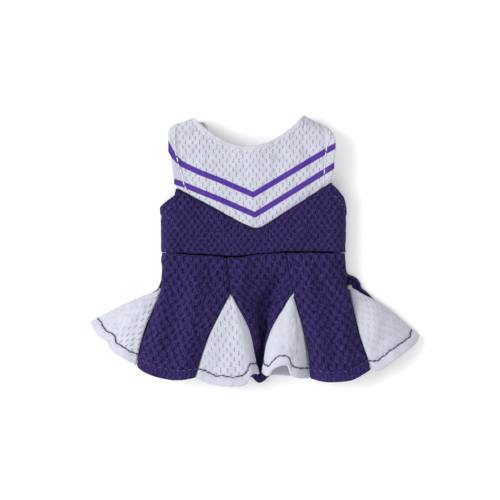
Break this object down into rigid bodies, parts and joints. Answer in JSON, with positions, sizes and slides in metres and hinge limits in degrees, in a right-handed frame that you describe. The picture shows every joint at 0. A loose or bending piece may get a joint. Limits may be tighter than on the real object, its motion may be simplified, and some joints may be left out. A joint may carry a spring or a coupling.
{
  "type": "cheer uniform",
  "caption": "Small sleeveless cheer uniform in mesh knit: white chevron yoke, purple bodice, flared skirt of purple panels and white godets, back closing with a hook and loop strip.",
  "frame": {"origin": "middle of the surface it lies on, under the centre of its outline", "axes": "+X to the right seen from the front, +Y from hem to neck, +Z out of the chest"},
  "size_m": [0.149, 0.1209, 0.0159],
  "materials": {
    "purple_mesh": "matt mesh knit",
    "white_mesh": "matt mesh knit",
    "violet_tape": "smooth satin",
    "white_thread": "spun thread",
    "violet_thread": "spun thread",
    "hook_tape": "woven tape with nylon hooks",
    "loop_tape": "brushed loop pile"
  },
  "bodies": {
    "bodice": {"front_bodice_panel": "purple_mesh", "front_yoke": "white_mesh", "upper_chevron_stripe": "violet_tape", "lower_chevron_stripe": "violet_tape", "neckline_topstitch": "white_thread", "left_armhole_topstitch": "white_thread", "right_armhole_topstitch": "white_thread", "left_back_panel": "purple_mesh", "right_back_panel": "purple_mesh", "left_back_yoke": "white_mesh", "right_back_yoke": "white_mesh"},
    "skirt": {"left_side_godet": "white_mesh", "front_left_panel": "purple_mesh", "front_left_godet": "white_mesh", "front_centre_panel": "purple_mesh", "front_right_godet": "white_mesh", "front_right_panel": "purple_mesh", "right_side_godet": "white_mesh", "front_hem_topstitch": "violet_thread", "back_left_panel": "purple_mesh", "back_left_godet": "white_mesh", "back_centre_panel": "purple_mesh", "back_right_godet": "white_mesh", "back_right_panel": "purple_mesh", "back_hem_topstitch": "violet_thread"},
    "left_flap": {"left_back_flap": "purple_mesh", "left_back_flap_yoke": "white_mesh", "hook_strip": "hook_tape", "hook_strip_stitching": "white_thread"},
    "right_flap": {"right_back_flap": "purple_mesh", "right_back_flap_yoke": "white_mesh", "loop_strip": "loop_tape", "loop_strip_stitching": "white_thread"}
  },
  "joints": [
    {"name": "skirt_lift", "type": "hinge", "parent": "bodice", "child": "skirt", "pos_m": [0, -0.0014, 0.0102], "axis": [-1, 0, 0], "range_deg": [0, 70]},
    {"name": "left_flap_fold", "type": "hinge", "parent": "bodice", "child": "left_flap", "pos_m": [-0.001, 0.006, 0], "axis": [-0.3802, 0.9249, 0], "range_deg": [0, 150]},
    {"name": "right_flap_fold", "type": "hinge", "parent": "bodice", "child": "right_flap", "pos_m": [-0.001, 0.006, 0], "axis": [0.3802, 0.9249, 0], "range_deg": [0, 14]}
  ]
}
